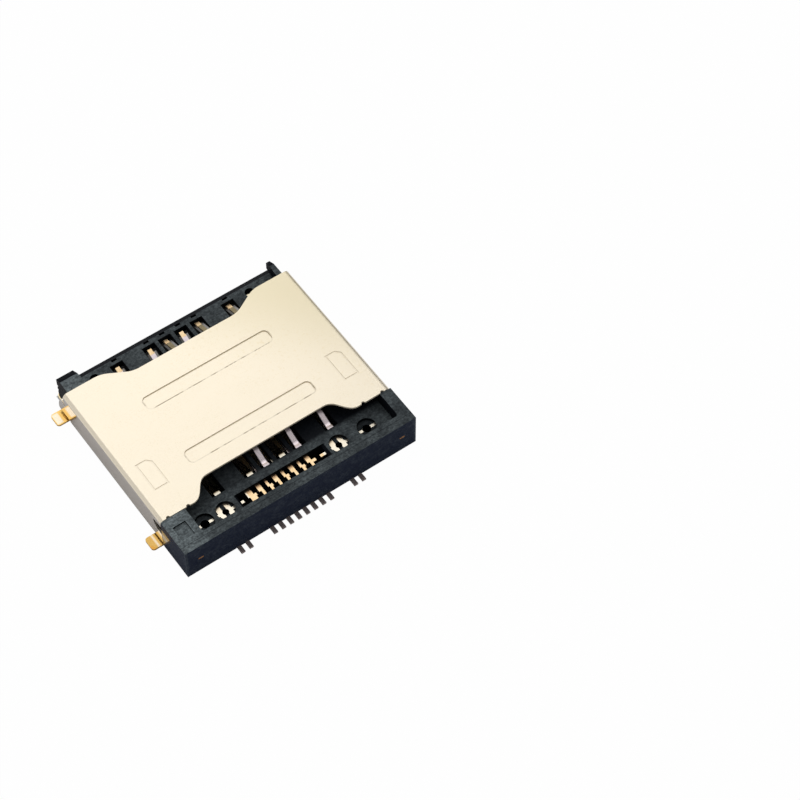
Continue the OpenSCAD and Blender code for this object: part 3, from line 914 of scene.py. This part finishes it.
def make_lamp(name, direction, distance, size, radiance):
    """A square soft box that looks at the socket."""
    data = bpy.data.lights.new(name, "AREA")
    data.shape = "SQUARE"
    data.size = size
    data.energy = radiance * math.pi * size * size
    lamp = bpy.data.objects.new(name, data)
    lamp.location = Vector(direction).normalized() * distance
    lamp.rotation_mode = "QUATERNION"
    lamp.rotation_quaternion = lamp.location.to_track_quat("Z", "Y")
    bpy.context.scene.collection.objects.link(lamp)


def light_path(blank, kind):
    """Which kind of ray meets the surface."""
    return blank.node("ShaderNodeLightPath", out=kind)


def make_floor(floor_colour):
    """A pale table that the camera sees as white round the socket, with a painted shadow that makes it
    dark under it.
    """
    solid = bmesh.new()
    bmesh.ops.create_grid(solid, x_segments=1, y_segments=1, size=TABLE_HALF)
    bmesh.ops.translate(solid, vec=(0, 0, -TABLE_DROP), verts=solid.verts)
    mesh = bpy.data.meshes.new("table")
    solid.to_mesh(mesh)
    solid.free()
    finish, blank, place = start_material("table_white")
    x, y = axes(place)[:2]
    camera = light_path(blank, "Is Camera Ray")
    glossy = light_path(blank, "Is Glossy Ray")
    through = light_path(blank, "Is Transmission Ray")
    outside = (abs(x) - COVERED_HALF[0]).most(abs(y - COVERED_MIDDLE_Y) - COVERED_HALF[1])
    seen = (camera + through) * outside.step(0.0, 0.02) * 0.985
    seen = seen + glossy * outside.step(1.0, 6.0) * 0.5
    # Painted shadow: the table is nearly black under the socket.
    shade = outside.step(-0.5, 0.0).choose(colour((0.02, 0.02, 0.02)), colour(floor_colour))
    matt = blank.node("ShaderNodeBsdfDiffuse", None, {"Color": shade})
    white = blank.node("ShaderNodeEmission", None, {"Color": (1, 1, 1, 1), "Strength": 1.0})
    both = blank.node("ShaderNodeMixShader", None, {0: seen, 1: matt, 2: white})
    # From below the table is clear.
    below = camera * blank.node("ShaderNodeNewGeometry", out="Backfacing")
    clear = below.most(light_path(blank, "Transparent Depth").step(0.4, 0.6))
    air = blank.node("ShaderNodeBsdfTransparent")
    both = blank.node("ShaderNodeMixShader", None, {0: clear, 1: both, 2: air})
    blank.node("ShaderNodeOutputMaterial", None, {"Surface": both})
    mesh.materials.append(finish)
    table = bpy.data.objects.new("table", mesh)
    bpy.context.scene.collection.objects.link(table)


def make_world():
    """White to the camera, softer as light."""
    world = bpy.data.worlds.new("studio")
    bpy.context.scene.world = world
    world.use_nodes = True
    tree = world.node_tree
    tree.nodes.clear()
    blank = Wire(tree)
    camera = light_path(blank, "Is Camera Ray")
    height = axes(blank.node("ShaderNodeTexCoord", out="Generated"))[2]
    ground = 1 - height.step(-0.1, 0.0)
    strength = 0.26 + camera * 0.74 + (1 - camera) * ground * 0.6
    light = blank.node("ShaderNodeBackground", None, {"Color": (1, 1, 1, 1), "Strength": strength})
    blank.node("ShaderNodeOutputWorld", None, {"Surface": light})


class SOCKET_OT_stage(Operator):
    """Set up the table, the light and the camera"""

    bl_idname = "card_socket.stage"
    bl_label = "Stage"

    def execute(self, context):
        stage = context.scene.card_socket.stage
        context.scene.view_settings.view_transform = "Standard"
        make_camera(stage)
        make_floor(stage.floor_colour)
        make_world()
        for lamp in LAMPS:
            make_lamp(*lamp)
        return {"FINISHED"}


class SOCKET_PT_panel(Panel):
    """Settings and steps of the socket"""

    bl_idname = "SOCKET_PT_panel"
    bl_label = "Card socket"
    bl_space_type = "VIEW_3D"
    bl_region_type = "UI"
    bl_category = "Socket"

    def draw(self, context):
        settings = context.scene.card_socket
        for group in (settings.moulding, settings.sheet, settings.lead_frame, settings.stage):
            box = self.layout.box()
            for name in group.__annotations__:
                box.prop(group, name)
        for step in STEPS:
            self.layout.operator(step.bl_idname)


STEPS = (
    SOCKET_OT_housing,
    SOCKET_OT_shell,
    SOCKET_OT_contacts,
    SOCKET_OT_hold_downs,
    SOCKET_OT_links,
    SOCKET_OT_stage,
)
CLASSES = (
    SheetSettings,
    MouldingSettings,
    LeadFrameSettings,
    StageSettings,
    SocketSettings,
    *STEPS,
    SOCKET_PT_panel,
)


def register():
    for cls in CLASSES:
        bpy.utils.register_class(cls)
    bpy.types.Scene.card_socket = PointerProperty(type=SocketSettings)


def unregister():
    del bpy.types.Scene.card_socket
    for cls in reversed(CLASSES):
        bpy.utils.unregister_class(cls)


def main():
    register()
    bpy.ops.card_socket.housing()
    bpy.ops.card_socket.shell()
    bpy.ops.card_socket.contacts()
    bpy.ops.card_socket.hold_downs()
    bpy.ops.card_socket.links()
    bpy.ops.card_socket.stage()


if __name__ == "__main__":
    main()
